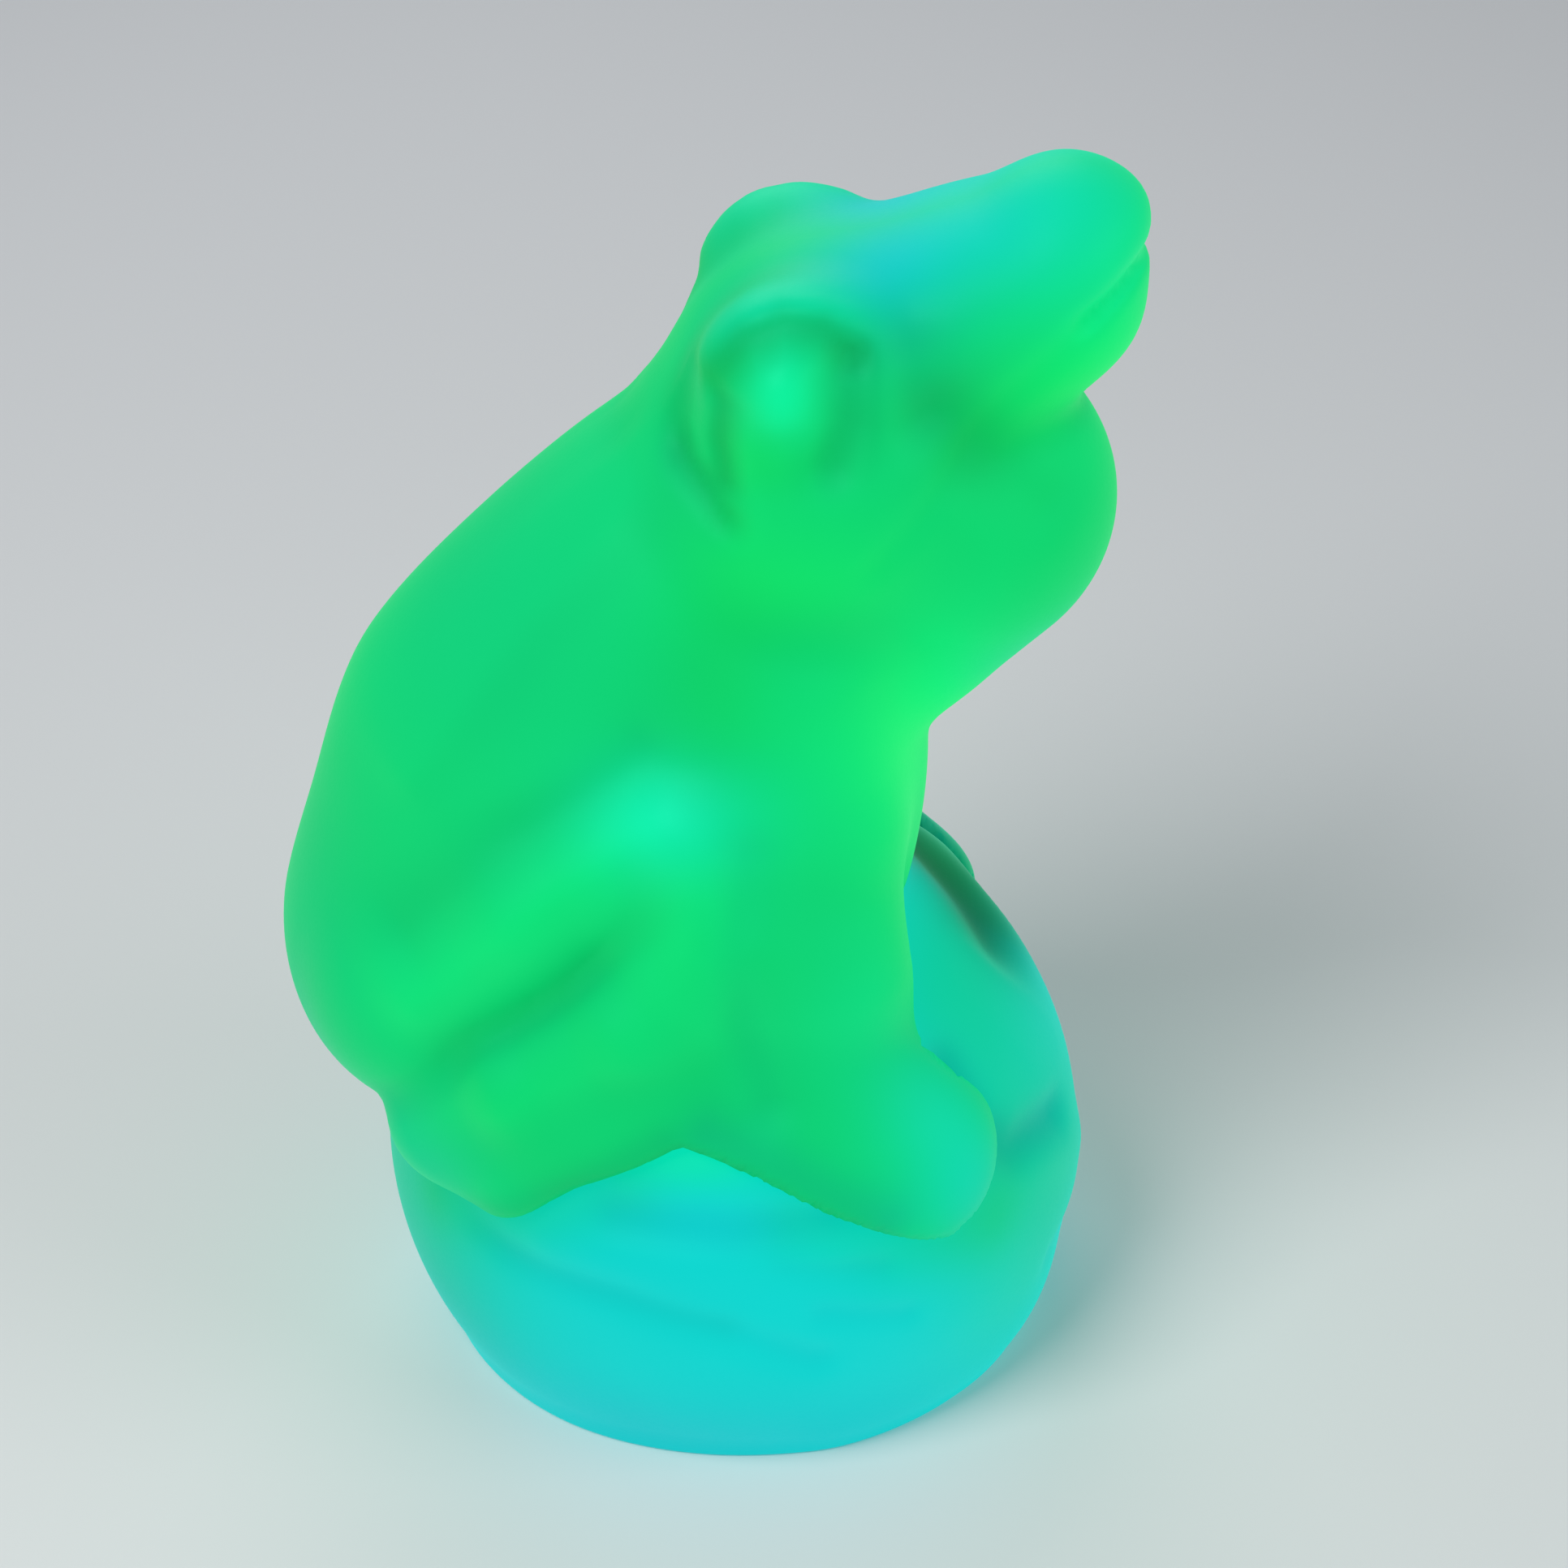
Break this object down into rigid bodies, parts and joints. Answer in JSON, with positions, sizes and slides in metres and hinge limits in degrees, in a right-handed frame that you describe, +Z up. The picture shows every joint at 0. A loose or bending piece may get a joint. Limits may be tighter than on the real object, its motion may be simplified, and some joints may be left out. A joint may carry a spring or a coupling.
{
  "type": "covered glass dish",
  "caption": "Small covered dish in satin uranium glass: a round thick-walled bowl with a lid shaped as a seated frog that looks up.",
  "frame": {"origin": "centre of the bowl's flat foot, on the surface that the dish stands on", "axes": "+Z up, +X the way the frog looks, +Y the frog's left"},
  "size_m": [0.0765, 0.064, 0.1136],
  "materials": {
    "bowl_glass": "acid-satined uranium glass, glowing blue-green under ultraviolet light",
    "frog_glass": "acid-satined uranium glass, glowing green under ultraviolet light"
  },
  "bodies": {
    "bowl": {"dish_bowl": "bowl_glass"},
    "lid": {"frog_lid": "frog_glass"}
  },
  "joints": [
    {"name": "lid_lift", "type": "slide", "parent": "bowl", "child": "lid", "axis": [0, 0, 1], "range_m": [0, 0.06]}
  ]
}
